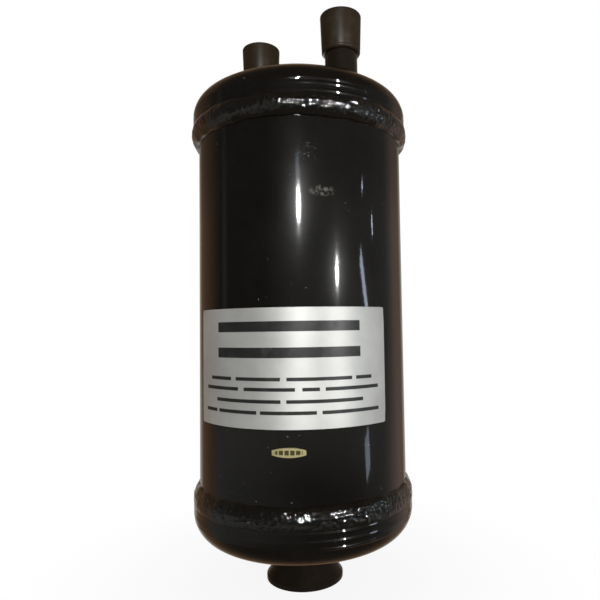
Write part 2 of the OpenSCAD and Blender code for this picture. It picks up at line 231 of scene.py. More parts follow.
def edit(piece, choose="SELECT"):
    """Opens a piece in edit mode, with all of it selected or none."""
    bpy.context.view_layer.objects.active = piece
    bpy.ops.object.mode_set(mode="EDIT")
    bpy.ops.mesh.select_all(action=choose)


def leave_edit():
    """Back to object mode."""
    bpy.ops.object.mode_set(mode="OBJECT")


def face_outwards(piece):
    """Turns all faces of a piece one way, outwards where it is closed."""
    edit(piece)
    bpy.ops.mesh.normals_make_consistent(inside=False)
    leave_edit()


def named(name):
    """Names the primitive that was just added."""
    piece = bpy.context.object
    piece.name = piece.data.name = name
    return piece


def add_section(name, points):
    """A closed section in the XZ plane, a circle with its vertices put on (radius, height)."""
    deselect()
    bpy.ops.mesh.primitive_circle_add(vertices=len(points), radius=SHELL_R, fill_type="NOTHING")
    piece = named(name)
    for vertex, (radius, height) in zip(piece.data.vertices, points):
        vertex.co = (radius, 0, height)
    return piece


def open_axis(piece):
    """Takes out a section's edge on the axis, so that it is closed by the spin alone."""
    edit(piece, "DESELECT")
    leave_edit()
    for edge in piece.data.edges:
        edge.select = all(piece.data.vertices[i].co.x < SLIVER for i in edge.vertices)
    bpy.ops.object.mode_set(mode="EDIT")
    bpy.ops.mesh.delete(type="EDGE")
    leave_edit()


def spin_section(piece, steps, centre=(0, 0)):
    """Turns a section once round the upright axis into a closed solid, and puts it in place."""
    apply_modifier(piece, "SCREW", angle=2 * math.pi, steps=steps, render_steps=steps,
                   use_merge_vertices=True, merge_threshold=MERGE)
    edit(piece)
    bpy.ops.mesh.remove_doubles(threshold=MERGE)
    bpy.ops.mesh.dissolve_degenerate(threshold=SLIVER)
    bpy.ops.mesh.select_all(action="SELECT")
    bpy.ops.mesh.normals_make_consistent(inside=False)
    bpy.ops.transform.translate(value=(centre[0], centre[1], 0))
    leave_edit()


def apply_modifier(piece, kind, **settings):
    """Adds a modifier, sets it and applies it."""
    bpy.context.view_layer.objects.active = piece
    modifier = piece.modifiers.new(kind.title(), kind)
    for name, value in settings.items():
        setattr(modifier, name, value)
    bpy.ops.object.modifier_apply(modifier=modifier.name)


def smooth(piece, degrees):
    """Smooth shading, with edges sharper than this left crisp."""
    deselect()
    piece.select_set(True)
    bpy.context.view_layer.objects.active = piece
    bpy.ops.object.shade_smooth_by_angle(angle=math.radians(degrees))


def dress(piece, body, slot, material, *nodes):
    """Puts a finished piece on its body, in place of its CAD nodes."""
    if material:
        piece.data.materials.append(material)
    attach(piece, body)
    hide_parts(*nodes)


def paint_nodes(material, *nodes):
    """Gives CAD nodes a finish in place of their plain one."""
    for name in nodes:
        mesh = frame["nodes"][name].data
        mesh.materials.clear()
        mesh.materials.append(material)


# Material helpers


def fill(tree, node, inputs):
    """Fills a node's inputs, each with a value or with a link from a socket."""
    for name, value in inputs.items():
        if isinstance(value, bpy.types.NodeSocket):
            tree.links.new(value, node.inputs[name])
        else:
            node.inputs[name].default_value = value


def add_node(tree, kind, inputs=None, **settings):
    """A shader node with its settings and its inputs."""
    node = tree.nodes.new("ShaderNode" + kind)
    for name, value in settings.items():
        setattr(node, name, value)
    fill(tree, node, inputs or {})
    return node


def made_once(build):
    """Makes a finish from the shader's inputs when its name is first asked for, and gives the same
    one after that."""
    @wraps(build)
    def finish(name, *values, **settings):
        material = bpy.data.materials.get(name)
        if not material:
            material = bpy.data.materials.new(name)
            material.use_nodes = True
            tree = material.node_tree
            inputs = build(tree, surface_place(tree), *values, **settings)
            fill(tree, tree.nodes["Principled BSDF"], inputs)
        return material
    return finish


def scaled(colour, factor):
    """A colour made lighter or darker."""
    return tuple(factor * c for c in colour)


def surface_place(tree):
    """Object coordinates, which are the CAD frame's metres on every piece."""
    return add_node(tree, "TexCoord").outputs["Object"]


def stretched(tree, place, scale):
    """Coordinates for grain that runs one way, in cells per metre along each axis."""
    return add_node(tree, "Mapping", {"Vector": place, "Scale": scale}).outputs["Vector"]


def round_tangent(tree):
    """Tangent round the upright axis, for a sheen that is drawn out along it."""
    return add_node(tree, "Tangent", direction_type="RADIAL", axis="Z").outputs[0]


def noise(tree, place, scale=1.0, detail=2.0, roughness=0.5):
    """Noise value between 0 and 1, scale in cells per metre."""
    inputs = {"Vector": place, "Scale": scale, "Detail": detail, "Roughness": roughness}
    return add_node(tree, "TexNoise", inputs).outputs["Fac"]


def ranged(tree, value, low, high, to_low=0.0, to_high=1.0):
    """Value taken from one range to another, with soft ends."""
    inputs = {"Value": value, "From Min": low, "From Max": high,
              "To Min": to_low, "To Max": to_high}
    return add_node(tree, "MapRange", inputs, interpolation_type="SMOOTHSTEP").outputs["Result"]


def math_of(tree, operation, first, second=0.0):
    """Result of a Math node on two values or sockets."""
    return add_node(tree, "Math", {0: first, 1: second}, operation=operation).outputs[0]


def mixed(tree, factor, first, second):
    """Mix of two colours, each given as a colour or a socket."""
    def colour(value):
        return value if isinstance(value, bpy.types.NodeSocket) else (*value, 1.0)
    return add_node(tree, "Mix", {0: factor, 6: colour(first), 7: colour(second)},
                    data_type="RGBA").outputs[2]


def bumped(tree, height, distance, below=None):
    """Normal of a surface with this relief, on top of another relief if there is one."""
    inputs = {"Height": height, "Distance": distance}
    if below:
        inputs["Normal"] = below
    return add_node(tree, "Bump", inputs).outputs["Normal"]


# Finishes


# Marks on the front of the shell: turn in degrees, height, and reach across and up
RUB = (10.5, 0.1815, (0.0068, 0.0030))
NIBS = (3.6, 0.199, (0.0065, 0.0075))


def spot(tree, place, degrees, height, reach):
    """Soft oval mask on the front of the shell."""
    turn = math.radians(degrees)
    centre = (SHELL_R * math.sin(turn), -SHELL_R * math.cos(turn), height)
    scale = (1 / reach[0], 1 / reach[0], 1 / reach[1])
    shifted = add_node(tree, "Mapping", {"Vector": place, "Scale": scale,
                                         "Location": [-c * s for c, s in zip(centre, scale)]})
    fall = add_node(tree, "TexGradient", {"Vector": shifted.outputs["Vector"]},
                    gradient_type="SPHERICAL")
    return ranged(tree, fall.outputs["Fac"], 0.0, 0.5)


@made_once
def enamel_finish(tree, place, marked=False, thin=False, gloss=1.5, coat=0.055):
    """Gloss black enamel: orange peel, a soft sheen under a hard clear top, dust nibs and rubs."""
    colours = bpy.context.scene.accumulator_colours
    mottle = noise(tree, place, scale=38, detail=4, roughness=0.6)
    worn = ranged(tree, noise(tree, place, scale=620, detail=1), 0.79, 0.81)
    if marked:
        scratches = noise(tree, place, scale=700, detail=3, roughness=0.7)
        specks = noise(tree, place, scale=1500, detail=1)
        for mark, pattern, low, high in ((RUB, scratches, 0.46, 0.60), (NIBS, specks, 0.69, 0.72)):
            marks = math_of(tree, "MULTIPLY", spot(tree, place, *mark),
                            ranged(tree, pattern, low, high))
            worn = math_of(tree, "MAXIMUM", worn, marks)
    colour = colours.enamel_thin if thin else colours.enamel
    body = mixed(tree, ranged(tree, mottle, 0.35, 0.75), colour, scaled(colour, 1.45))
    peel = bumped(tree, noise(tree, place, scale=110, detail=1), 0.02 * MM)
    peel = bumped(tree, noise(tree, place, scale=800), 0.006 * MM, below=peel)
    return {
        "Base Color": mixed(tree, math_of(tree, "MULTIPLY", worn, 0.6), body, colours.scuff),
        "Roughness": ranged(tree, mottle, 0.3, 0.7, 0.20, 0.26),
        "Specular IOR Level": 0.045,
        "Anisotropic": 0.7,
        "Tangent": round_tangent(tree),
        "Coat Weight": 1.0,
        "Coat Roughness": coat,
        "Coat IOR": gloss,
        "Normal": bumped(tree, worn, 0.04 * MM, below=peel),
        "Coat Normal": peel,
    }


def weld_finish():
    """The enamel on the beads, glossier than on the vessel."""
    return enamel_finish("weld_enamel", gloss=1.75, coat=0.04)


@made_once
def foot_finish(tree, place):
    """Thin satin brown-black paint with the marks of the press and a little dust."""
    colour = bpy.context.scene.accumulator_colours.foot
    mottle = noise(tree, place, scale=60, detail=4, roughness=0.6)
    rings = noise(tree, stretched(tree, place, (30, 30, 1400)))
    grain = bumped(tree, noise(tree, place, scale=700), 0.02 * MM)
    return {
        "Base Color": mixed(tree, ranged(tree, mottle, 0.35, 0.8), colour, scaled(colour, 1.6)),
        "Roughness": ranged(tree, mottle, 0.3, 0.7, 0.20, 0.30),
        "Specular IOR Level": 0.16,
        "Normal": bumped(tree, rings, 0.02 * MM, below=grain),
    }


@made_once
def plastic_finish(tree, place):
    """Matte grey moulded plastic: fine grain, draw marks along the pull and pale bloom."""
    colours = bpy.context.scene.accumulator_colours
    bloom = noise(tree, place, scale=170, detail=4, roughness=0.65)
    dusty = ranged(tree, bloom, 0.5, 0.85)
    streaks = noise(tree, stretched(tree, place, (1500, 1500, 40)))
    grain = bumped(tree, noise(tree, place, scale=1500), 0.02 * MM)
    return {
        "Base Color": mixed(tree, dusty, colours.plastic, colours.plastic_dust),
        "Roughness": ranged(tree, bloom, 0.3, 0.7, 0.32, 0.42),
        "Specular IOR Level": 0.28,
        "Normal": bumped(tree, streaks, 0.01 * MM, below=grain),
    }


@made_once
def foil_finish(tree, place):
    """Satin silver foil with rolling grain and faint handling marks."""
    colour = bpy.context.scene.accumulator_colours.foil
    cloud = noise(tree, place, scale=45, detail=4, roughness=0.6)
    grain = noise(tree, stretched(tree, place, (900, 900, 3200)))
    return {
        "Base Color": mixed(tree, ranged(tree, cloud, 0.3, 0.7), scaled(colour, 0.86), colour),
        "Metallic": 0.68,
        "Roughness": ranged(tree, cloud, 0.3, 0.7, 0.53, 0.58),
        "Anisotropic": 0.45,
        "Anisotropic Rotation": 0.25,
        "Tangent": round_tangent(tree),
        "Normal": bumped(tree, grain, 0.01 * MM),
    }


@made_once
def ink_finish(tree, place):
    """Black print, a little glossy and not quite even."""
    colour = bpy.context.scene.accumulator_colours.ink
    wash = ranged(tree, noise(tree, place, scale=260, detail=3), 0.45, 0.8)
    return {
        "Base Color": mixed(tree, wash, colour, scaled(colour, 2.2)),
        "Roughness": ranged(tree, wash, 0, 1, 0.36, 0.5),
    }


@made_once
def gold_finish(tree, place, colour):
    """Pale gold foil or its darker print."""
    cloud = noise(tree, place, scale=400, detail=3)
    return {
        "Base Color": mixed(tree, cloud, scaled(colour, 0.8), colour),
        "Metallic": 0.7,
        "Roughness": ranged(tree, cloud, 0.3, 0.7, 0.28, 0.38),
        "Normal": bumped(tree, noise(tree, place, scale=2200), 0.01 * MM),
    }


@made_once
def metal_finish(tree, place, colour, roughness):
    """Bare drawn metal with dull patches and fine lines."""
    patch = noise(tree, place, scale=90, detail=4, roughness=0.6)
    lines = noise(tree, stretched(tree, place, (2400, 2400, 60)))
    return {
        "Base Color": mixed(tree, patch, scaled(colour, 0.72), colour),
        "Metallic": 1.0,
        "Roughness": ranged(tree, patch, 0.3, 0.7, roughness - 0.06, roughness + 0.08),
        "Normal": bumped(tree, lines, 0.01 * MM),
    }


# Pieces


class ACCUMULATOR_OT_painted_steel(bpy.types.Operator):
    """Finish the shell, the stubs and the foot"""

    bl_idname = "accumulator.painted_steel"
    bl_label = "Painted steel"

    def execute(self, context):
        paint_nodes(enamel_finish("shell_enamel", marked=True), "shell")
        paint_nodes(enamel_finish("stub_enamel", thin=True), "inlet_stub", "outlet_stub")
        paint_nodes(foot_finish("foot_enamel"), "mounting_cup")
        return {"FINISHED"}


# Steps round a head, sides of a hole, and steps along a crown and the rest of its two faces
HEAD_STEPS, HOLE_SIDES = 288, 128
CROWN_STEP, OUTER_STEP, INNER_STEP = 1.5 * MM, 0.2 * MM, 1.0 * MM

# Press marks, in millimetres: height from the skirt's edge, relief, and the x where it is highest
TOP_MARKS = ((6.0, 0.175, 21), (9.1, 0.175, 17), (11.2, 0.28, 10))
BOTTOM_MARKS = ((5.6, 0.28, 20), (9.0, 0.30, 20), (12.0, 0.46, 20))
# Distances from that x between which a mark sinks, and the share of its relief that it loses
MARK_NEAR, MARK_FAR, MARK_LOSS = 6 * MM, 20 * MM, 0.85


def soft_step(value, low, high):
    """0 up to low and 1 from high on, with soft ends between them."""
    t = min(max((value - low) / (high - low), 0), 1)
    return t * t * (3 - 2 * t)


def head_face(crown, knuckle, skirt, inset, step):
    """Face of a head as (radius, height) points, crown to skirt, the tangent line at height 0."""
    middle = SKIRT_R - knuckle
    drop = math.sqrt((crown - knuckle) ** 2 - middle ** 2)
    lean = math.atan2(middle, drop)
    rings = round(lean * crown / CROWN_STEP)
    turns = round((math.pi / 2 - lean) * knuckle / step)
    rows = round(skirt / step)
    crown_r, knuckle_r = crown - inset, knuckle - inset
    points = []
    for i in range(rings):
        turn = lean * i / rings
        points.append((crown_r * math.sin(turn), crown_r * math.cos(turn) - drop))
    for i in range(turns):
        turn = lean + (math.pi / 2 - lean) * i / turns
        points.append((middle + knuckle_r * math.sin(turn), knuckle_r * math.cos(turn)))
    return points + [(SKIRT_R - inset, -skirt * i / rows) for i in range(rows + 1)]


def raise_marks(piece, sizes, knuckle, skirt, marks):
    """Moves the outer face's vertices outwards into the press marks, higher near one side."""
    middle = SKIRT_R - knuckle
    for vertex in piece.data.vertices:
        x, y, z = vertex.co
        turn, radius = math.atan2(y, x), math.hypot(x, y)
        out = Vector((radius - middle, max(z, 0)))
        if radius < middle or out.length < knuckle - sizes.wall / 2:
            continue
        rise = 0
        for height, relief, highest in marks:
            near = 1 - soft_step(abs(z + skirt - height * MM), 0, sizes.mark)
            side = 1 - MARK_LOSS * soft_step(abs(x - highest * MM), MARK_NEAR, MARK_FAR)
            rise += relief * MM * near * side
        out.normalize()
        radius += rise * out.x
        vertex.co = (radius * math.cos(turn), radius * math.sin(turn), z + rise * out.y)


def cut_holes(piece, play, *stubs):
    """Cuts the holes that the stubs pass through."""
    for stub in stubs:
        low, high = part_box(stub)
        deselect()
        bpy.ops.mesh.primitive_cylinder_add(
            vertices=HOLE_SIDES, radius=(high.x - low.x) / 2 + play, depth=high.z - low.z)
        cutter = named("hole_cutter")
        edit(cutter)
        bpy.ops.transform.translate(value=(low + high) / 2)
        leave_edit()
        apply_modifier(piece, "BOOLEAN", operation="DIFFERENCE", solver="EXACT", object=cutter)
        deselect()
        cutter.select_set(True)
        bpy.ops.object.delete()


class ACCUMULATOR_OT_pressed_heads(bpy.types.Operator):
    """Model the two domed heads with the marks that the press left round them"""

    bl_idname = "accumulator.pressed_heads"
    bl_label = "Pressed heads"

    def execute(self, context):
        sizes = context.scene.accumulator_heads
        top = (sizes.top_crown, sizes.top_knuckle, sizes.top_skirt)
        bottom = (sizes.bottom_crown, sizes.bottom_knuckle, sizes.bottom_skirt)
        for name, node, form, marks, edge_z, upward in (
                ("top_dome", "top_head", top, TOP_MARKS, TOP_EDGE_Z, 1),
                ("bottom_dome", "bottom_head", bottom, BOTTOM_MARKS, BOTTOM_EDGE_Z, -1)):
            _, knuckle, skirt = form
            outside = head_face(*form, 0, OUTER_STEP)
            inside = head_face(*form, sizes.wall, INNER_STEP)
            piece = add_section(name, outside + inside[::-1])
            open_axis(piece)
            spin_section(piece, HEAD_STEPS)
            raise_marks(piece, sizes, knuckle, skirt, marks)
            for vertex in piece.data.vertices:
                vertex.co.z = edge_z + upward * (vertex.co.z + skirt)
            face_outwards(piece)
            if node == "top_head":
                cut_holes(piece, sizes.play, "inlet_stub", "outlet_stub")
            smooth(piece, 35)
            dress(piece, "vessel", "black_enamel", enamel_finish("head_enamel"), node)
        return {"FINISHED"}


# Points across a girth bead's face, steps round it for each ripple, and the depth of its skin
FACE_POINTS, RIPPLE_STEPS, SKIN = 42, 12, 0.2 * MM
# Ripples: how far their ends trail, how far they drift to and fro, and how often in a turn
RIPPLE_BOW, RIPPLE_DRIFT, RIPPLE_DRIFTS = 1.05, 0.9, 11
# Lumps: size of the fine and the wide ones, and a shift that sets the wide ones apart
GRAIN_SIZE, SWELL_SIZE, SWELL_SHIFT = 1.8 * MM, 4.6 * MM, Vector((3, 5, 7))
# Turn where the fine lumps are highest, and the share of their height on the far side
ROUGH_TURN, ROUGH_LEAST = math.radians(-72), 0.35
# Turn where a bead's run ends on its start, and the reach of the lump there
RESTART_TURN, RESTART_REACH = math.radians(-62), 0.08


def toe_drift(turn):
    """Uneven run of a bead's two toes round the vessel, between -1 and 1."""
    return (math.sin(5 * turn + 0.7) + math.sin(13 * turn) + math.sin(29 * turn + 1.2)) / 3


def bead_swell(beads, t):
    """Shape of a girth bead across its face, 0 at both toes and 1 at its crest."""
    low, high = beads.shell_toe, beads.skirt_toe
    crest = low / (low + high)
    return (t ** low * (1 - t) ** high) / (crest ** low * (1 - crest) ** high)


def bead_face(beads, t, rise):
    """Radius of a girth bead's face, t running from its toe on the shell to that on the skirt."""
    return SHELL_R + beads.seat + (SKIRT_R - SHELL_R) * t + rise * bead_swell(beads, t)


def bead_section(beads, rise):
    """Section of a girth bead as (radius, height) points, the skirt's edge at height 0."""
    seats = [(SKIRT_R + beads.seat, -beads.seat), (SHELL_R + beads.seat, -beads.seat)]
    shares = [i / FACE_POINTS for i in range(FACE_POINTS + 1)]
    return seats + [(bead_face(beads, t, rise), -beads.leg + (beads.leg + beads.lap) * t)
                    for t in shares]


def ripple_bead(piece, beads, rise, edge_z, upward):
    """Moves a spun bead's vertices into crescent ripples, and puts it at its skirt's edge."""
    for vertex in piece.data.vertices:
        x, y, z = vertex.co
        turn, radius = math.atan2(y, x), math.hypot(x, y)
        t = min(max((z + beads.leg) / (beads.leg + beads.lap), 0), 1)
        if radius > bead_face(beads, t, rise) - SKIN:
            lean = 2 * t - 1
            lobe = abs(math.cos(beads.ripples * turn / 2 - RIPPLE_BOW * lean * lean
                                + RIPPLE_DRIFT * math.sin(RIPPLE_DRIFTS * turn)))
            held = min(1, 6 * t * (1 - t))
            facing = (0.5 + 0.5 * math.cos(turn - ROUGH_TURN)) ** 3
            rough = ROUGH_LEAST + (1 - ROUGH_LEAST) * facing
            grains = lump_field(vertex.co / GRAIN_SIZE) * beads.grains * rough
            swells = lump_field(vertex.co / SWELL_SIZE + SWELL_SHIFT) * beads.swells
            restart = math.exp(-((turn - RESTART_TURN) / RESTART_REACH) ** 2)
            radius += held * (grains * (1 + restart) + swells + beads.overlap * restart)
            radius -= rise * bead_swell(beads, t) * beads.dip * (1 - lobe)
            z += beads.wander * toe_drift(turn) * lean
        vertex.co = (radius * math.cos(turn), radius * math.sin(turn), edge_z + upward * z)


class ACCUMULATOR_OT_girth_beads(bpy.types.Operator):
    """Model the two rippled beads that join the heads to the shell"""

    bl_idname = "accumulator.girth_beads"
    bl_label = "Girth beads"

    def execute(self, context):
        beads = context.scene.accumulator_beads
        for name, node, rise, edge_z, upward in (
                ("top_bead", "top_girth_weld", beads.top_rise, TOP_EDGE_Z, 1),
                ("bottom_bead", "bottom_girth_weld", beads.bottom_rise, BOTTOM_EDGE_Z, -1)):
            piece = add_section(name, bead_section(beads, rise))
            spin_section(piece, beads.ripples * RIPPLE_STEPS)
            ripple_bead(piece, beads, rise, edge_z, upward)
            face_outwards(piece)
            smooth(piece, 60)
            dress(piece, "vessel", "painted_weld", weld_finish(), node)
        return {"FINISHED"}


class ACCUMULATOR_OT_fillet_beads(bpy.types.Operator):
    """Model the small lumpy beads round the stubs and the foot's neck"""

    bl_idname = "accumulator.fillet_beads"
    bl_label = "Fillet beads"

    LUMP_SIZE, VOXEL = 2.8 * MM, 0.22 * MM
    # Value of the lumps' texture that leaves the surface where it is
    LEVEL = 0.45

    def execute(self, context):
        lumps = bpy.data.textures.new("weld_lumps", "CLOUDS")
        lumps.noise_scale = self.LUMP_SIZE
        lumps.noise_depth = 1
        for node in ("inlet_stub_weld", "outlet_stub_weld", "cup_weld"):
            deselect()
            original = frame["nodes"][node]
            original.select_set(True)
            context.view_layer.objects.active = original
            bpy.ops.object.duplicate()
            piece = named(node.replace("_weld", "_bead"))
            piece.parent = None
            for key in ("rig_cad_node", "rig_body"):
                del piece[key]
            piece.data.materials.clear()
            edit(piece)
            bpy.ops.mesh.remove_doubles(threshold=MERGE)
            leave_edit()
            apply_modifier(piece, "REMESH", mode="VOXEL", voxel_size=self.VOXEL)
            apply_modifier(piece, "DISPLACE", texture=lumps, texture_coords="LOCAL",
                           mid_level=self.LEVEL,
                           strength=2 * context.scene.accumulator_beads.lumps)
            smooth(piece, 80)
            dress(piece, "vessel", "painted_weld", weld_finish(), node)
        return {"FINISHED"}


def arc(centre, radius, start, sweep, steps):
    """Points along an arc in a section, as (radius, height)."""
    turns = [start + i / steps * sweep for i in range(steps + 1)]
    return [(centre[0] + radius * math.cos(turn), centre[1] + radius * math.sin(turn))
            for turn in turns]


class ACCUMULATOR_OT_shipping_caps(bpy.types.Operator):
    """Model the two tapered push-on caps"""

    bl_idname = "accumulator.shipping_caps"
    bl_label = "Shipping caps"

    STEPS, LIP_STEPS, GROOVE_STEPS, EDGE_STEPS = 128, 5, 12, 8
    # Chamfer at the bore's closed end, and depth of the groove in the rolled band
    CHAMFER, GROOVE = 0.4 * MM, 0.05 * MM
    # Rounded inner corner of the rim: distances out from the bore and up from the rim
    RIM_CORNER = ((0, 0.2 * MM), (0.06 * MM, 0.06 * MM), (0.2 * MM, 0))
    # Gate mark on the closed end: radius, width of its sloping side, and depth
    GATE_R, GATE_SIDE, GATE_DEPTH = 1.6 * MM, 0.25 * MM, 0.2 * MM

    def execute(self, context):
        caps = context.scene.accumulator_caps
        for node in ("inlet_cap", "outlet_cap"):
            low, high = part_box(node)
            centre = ((low.x + high.x) / 2, (low.y + high.y) / 2)
            points = self.section(caps, high.z - low.z)
            piece = add_section(node.replace("_cap", "_shipping_cap"),
                                [(r, low.z + z) for r, z in points])
            open_axis(piece)
            spin_section(piece, self.STEPS, centre)
            smooth(piece, 35)
            dress(piece, node, "cap_plastic", plastic_finish("moulded_plastic"), node)
        return {"FINISHED"}

    def section(self, caps, height):
        """Half section of a cap, from the middle of its roof's underside round to its top's."""
        rim, top, bore = caps.rim / 2, caps.top / 2, caps.bore / 2
        lean = math.atan2(top - rim, height)
        edge_z, ceiling, sunk = height - caps.edge, height - caps.roof, height - self.GATE_DEPTH

        def side(z):
            return rim + z * math.tan(lean)

        edge_r = side(edge_z) - caps.edge / math.cos(lean)
        lip_r = side(caps.lip) - caps.lip / math.cos(lean)
        points = [(0, ceiling), (bore - self.CHAMFER, ceiling), (bore, ceiling - self.CHAMFER)]
        points += [(bore + out, up) for out, up in self.RIM_CORNER]
        points += arc((lip_r, caps.lip), caps.lip, -math.pi / 2, math.pi / 2 - lean, self.LIP_STEPS)
        for i in range(1, self.GROOVE_STEPS):
            z = caps.lip + (caps.band - caps.lip) * i / self.GROOVE_STEPS
            points.append((side(z) - self.GROOVE * math.sin(math.pi * i / self.GROOVE_STEPS), z))
        points += [(side(z), z) for z in (caps.band, (caps.band + edge_z) / 2)]
        points += arc((edge_r, edge_z), caps.edge, -lean, math.pi / 2 + lean, self.EDGE_STEPS)
        return points + [(self.GATE_R, height), (self.GATE_R - self.GATE_SIDE, sunk), (0, sunk)]


FOIL_THICKNESS = 0.15 * MM


def add_sheet(name, columns, rows, size):
    """A flat square sheet in the XY plane."""
    deselect()
    bpy.ops.mesh.primitive_grid_add(x_subdivisions=columns, y_subdivisions=rows, size=size)
    return named(name)


def round_corners(piece, width, height, radius):
    """Draws a flat sheet's corners in to a radius."""
    for vertex in piece.data.vertices:
        x, z = vertex.co.x, vertex.co.z
        corner_x = min(max(x, radius), width - radius)
        corner_z = min(max(z, radius), height - radius)
        away = Vector((x - corner_x, z - corner_z))
        if away.x and away.y:
            reach = max(abs(away.x), abs(away.y))
            away *= reach / away.length
            vertex.co.x, vertex.co.z = corner_x + away.x, corner_z + away.y


def wrap(piece, start, base):
    """Lays a flat XZ sheet round the shell, its left edge at a turn and its height 0 at a base."""
    radius = SHELL_R + bpy.context.scene.accumulator_beads.seat
    for vertex in piece.data.vertices:
        turn = start + vertex.co.x / SHELL_R
        vertex.co = (radius * math.sin(turn), -radius * math.cos(turn), vertex.co.z + base)


def thicken(piece):
    """Gives a wrapped sheet its thickness outwards, and smooth faces."""
    face_outwards(piece)
    outward = piece.data.polygons[0]
    if outward.normal.x * outward.center.x + outward.normal.y * outward.center.y < 0:
        edit(piece)
        bpy.ops.mesh.flip_normals()
        leave_edit()
    apply_modifier(piece, "SOLIDIFY", thickness=FOIL_THICKNESS, offset=1.0)
    smooth(piece, 40)


class ACCUMULATOR_OT_label(bpy.types.Operator):
    """Model the foil label and its plain printed bars"""

    bl_idname = "accumulator.label"
    bl_label = "Label"

    # Bars of print: rows from the label's lower edge, each with its middle's height in millimetres
    # and, for each bar in it, its two ends as shares of the label's width
    TITLES = ((43.0, ((0.160, 0.848),)), (31.9, ((0.160, 0.850),)))
    LINES = (
        (20.8, ((0.105, 0.245), (0.272, 0.486), (0.514, 0.805), (0.824, 0.910))),
        (16.5, ((0.065, 0.285), (0.315, 0.550), (0.582, 0.656), (0.682, 0.950))),
        (11.5, ((0.150, 0.488), (0.512, 0.860))),
        (6.8, ((0.060, 0.150), (0.165, 0.378), (0.395, 0.642), (0.666, 0.952))),
    )

    def execute(self, context):
        sizes = context.scene.accumulator_print
        height = LABEL_HIGH.z - LABEL_LOW.z
        piece = add_sheet("foil_label", columns=160, rows=8, size=1)
        edit(piece)
        bpy.ops.transform.translate(value=(0.5, 0.5, 0))
        leave_edit()
        for vertex in piece.data.vertices:
            vertex.co = (vertex.co.x * sizes.label_width, 0, vertex.co.y * height)
        self.print_bars(piece, self.bars(sizes))
        round_corners(piece, sizes.label_width, height, sizes.label_corner)
        wrap(piece, sizes.label_turn - sizes.label_width / SHELL_R / 2, LABEL_LOW.z)
        thicken(piece)
        dress(piece, "vessel", "label_foil", None, "label")
        return {"FINISHED"}

    def bars(self, sizes):
        """Every bar as (left, right, low, high), in metres from the label's lower left corner."""
        rows = [(row, sizes.title_height) for row in self.TITLES]
        rows += [(row, sizes.line_height) for row in self.LINES]
        return [(left * sizes.label_width, right * sizes.label_width,
                 middle * MM - tall / 2, middle * MM + tall / 2)
                for (middle, ends), tall in rows for left, right in ends]

    @staticmethod
    def print_bars(piece, bars):
        """Cuts the flat sheet along every bar's sides, and inks the faces inside."""
        edit(piece)
        for left, right, low, high in bars:
            for point, normal in (((left, 0, 0), (1, 0, 0)), ((right, 0, 0), (1, 0, 0)),
                                  ((0, 0, low), (0, 0, 1)), ((0, 0, high), (0, 0, 1))):
                bpy.ops.mesh.select_all(action="SELECT")
                bpy.ops.mesh.bisect(plane_co=point, plane_no=normal)
        leave_edit()
        piece.data.materials.append(foil_finish("silver_foil"))
        piece.data.materials.append(ink_finish("label_ink"))
        for face in piece.data.polygons:
            x, z = face.center.x, face.center.z
            face.material_index = int(any(left < x < right and low < z < high
                                          for left, right, low, high in bars))


class ACCUMULATOR_OT_sticker(bpy.types.Operator):
    """Model the small lens-shaped gold sticker"""

    bl_idname = "accumulator.sticker"
    bl_label = "Sticker"

    # Print, in shares of the sticker's half width and height: reach of the marks across and up,
    # start of the border, and the marks' cells in a half, one in four bare
    MARKS_ACROSS, MARKS_UP, BORDER = 0.80, 0.42, 0.9
    CELLS, BARE_CELL = 12, 4

    def execute(self, context):
        sizes = context.scene.accumulator_print
        colours = context.scene.accumulator_colours
        sag = (sizes.sticker_height - sizes.sticker_end) / 2
        half = sizes.sticker_width / 2
        bow = (half * half + sag * sag) / (2 * sag)
        piece = add_sheet("gold_sticker", columns=48, rows=18, size=2)
        piece.data.materials.append(gold_finish("gold_foil", colours.gold))
        piece.data.materials.append(gold_finish("gold_print", colours.gold_print))
        for face in piece.data.polygons:
            x, z = abs(face.center.x), abs(face.center.y)
            in_row = x < self.MARKS_ACROSS and z < self.MARKS_UP
            mark = in_row and int(self.CELLS * (face.center.x + 1)) % self.BARE_CELL != 0
            face.material_index = int(mark or z > self.BORDER)
        for vertex in piece.data.vertices:
            x, z = vertex.co.x * half, vertex.co.y
            edge = math.sqrt(bow * bow - x * x) - bow + sizes.sticker_height / 2
            vertex.co = (x + half, 0, z * edge)
        wrap(piece, sizes.sticker_turn - half / SHELL_R, (STICKER_LOW.z + STICKER_HIGH.z) / 2)
        thicken(piece)
        dress(piece, "vessel", "sticker_foil", None, "sticker")
        return {"FINISHED"}


class ACCUMULATOR_OT_inner_parts(bpy.types.Operator):
    """Finish the tubes, the plate, the strainer and the weld nut"""

    bl_idname = "accumulator.inner_parts"
    bl_label = "Inner parts"

    def execute(self, context):
        colours = context.scene.accumulator_colours
        paint_nodes(metal_finish("drawn_steel", colours.steel, roughness=0.38),
                    "inlet_tube", "u_tube", "support_plate", "mounting_nut")
        paint_nodes(metal_finish("turned_brass", colours.brass, roughness=0.3),
                    "orifice_fitting", "oil_screen", "screen_cap")
        return {"FINISHED"}


# Stage


# Round lamps: shares of power and size, bearing in degrees, and the shell's height that mirrors it
LAMPS = (
    ("front_lamp", 1.0, 1.0, -2.3, 13.1, 0.175),
    ("right_lamp", 0.66, 0.70, 38.3, 5.9, 0.147),
    ("rear_lamp", 0.50, 1.00, -174.0, -8.0, 0.170),
)

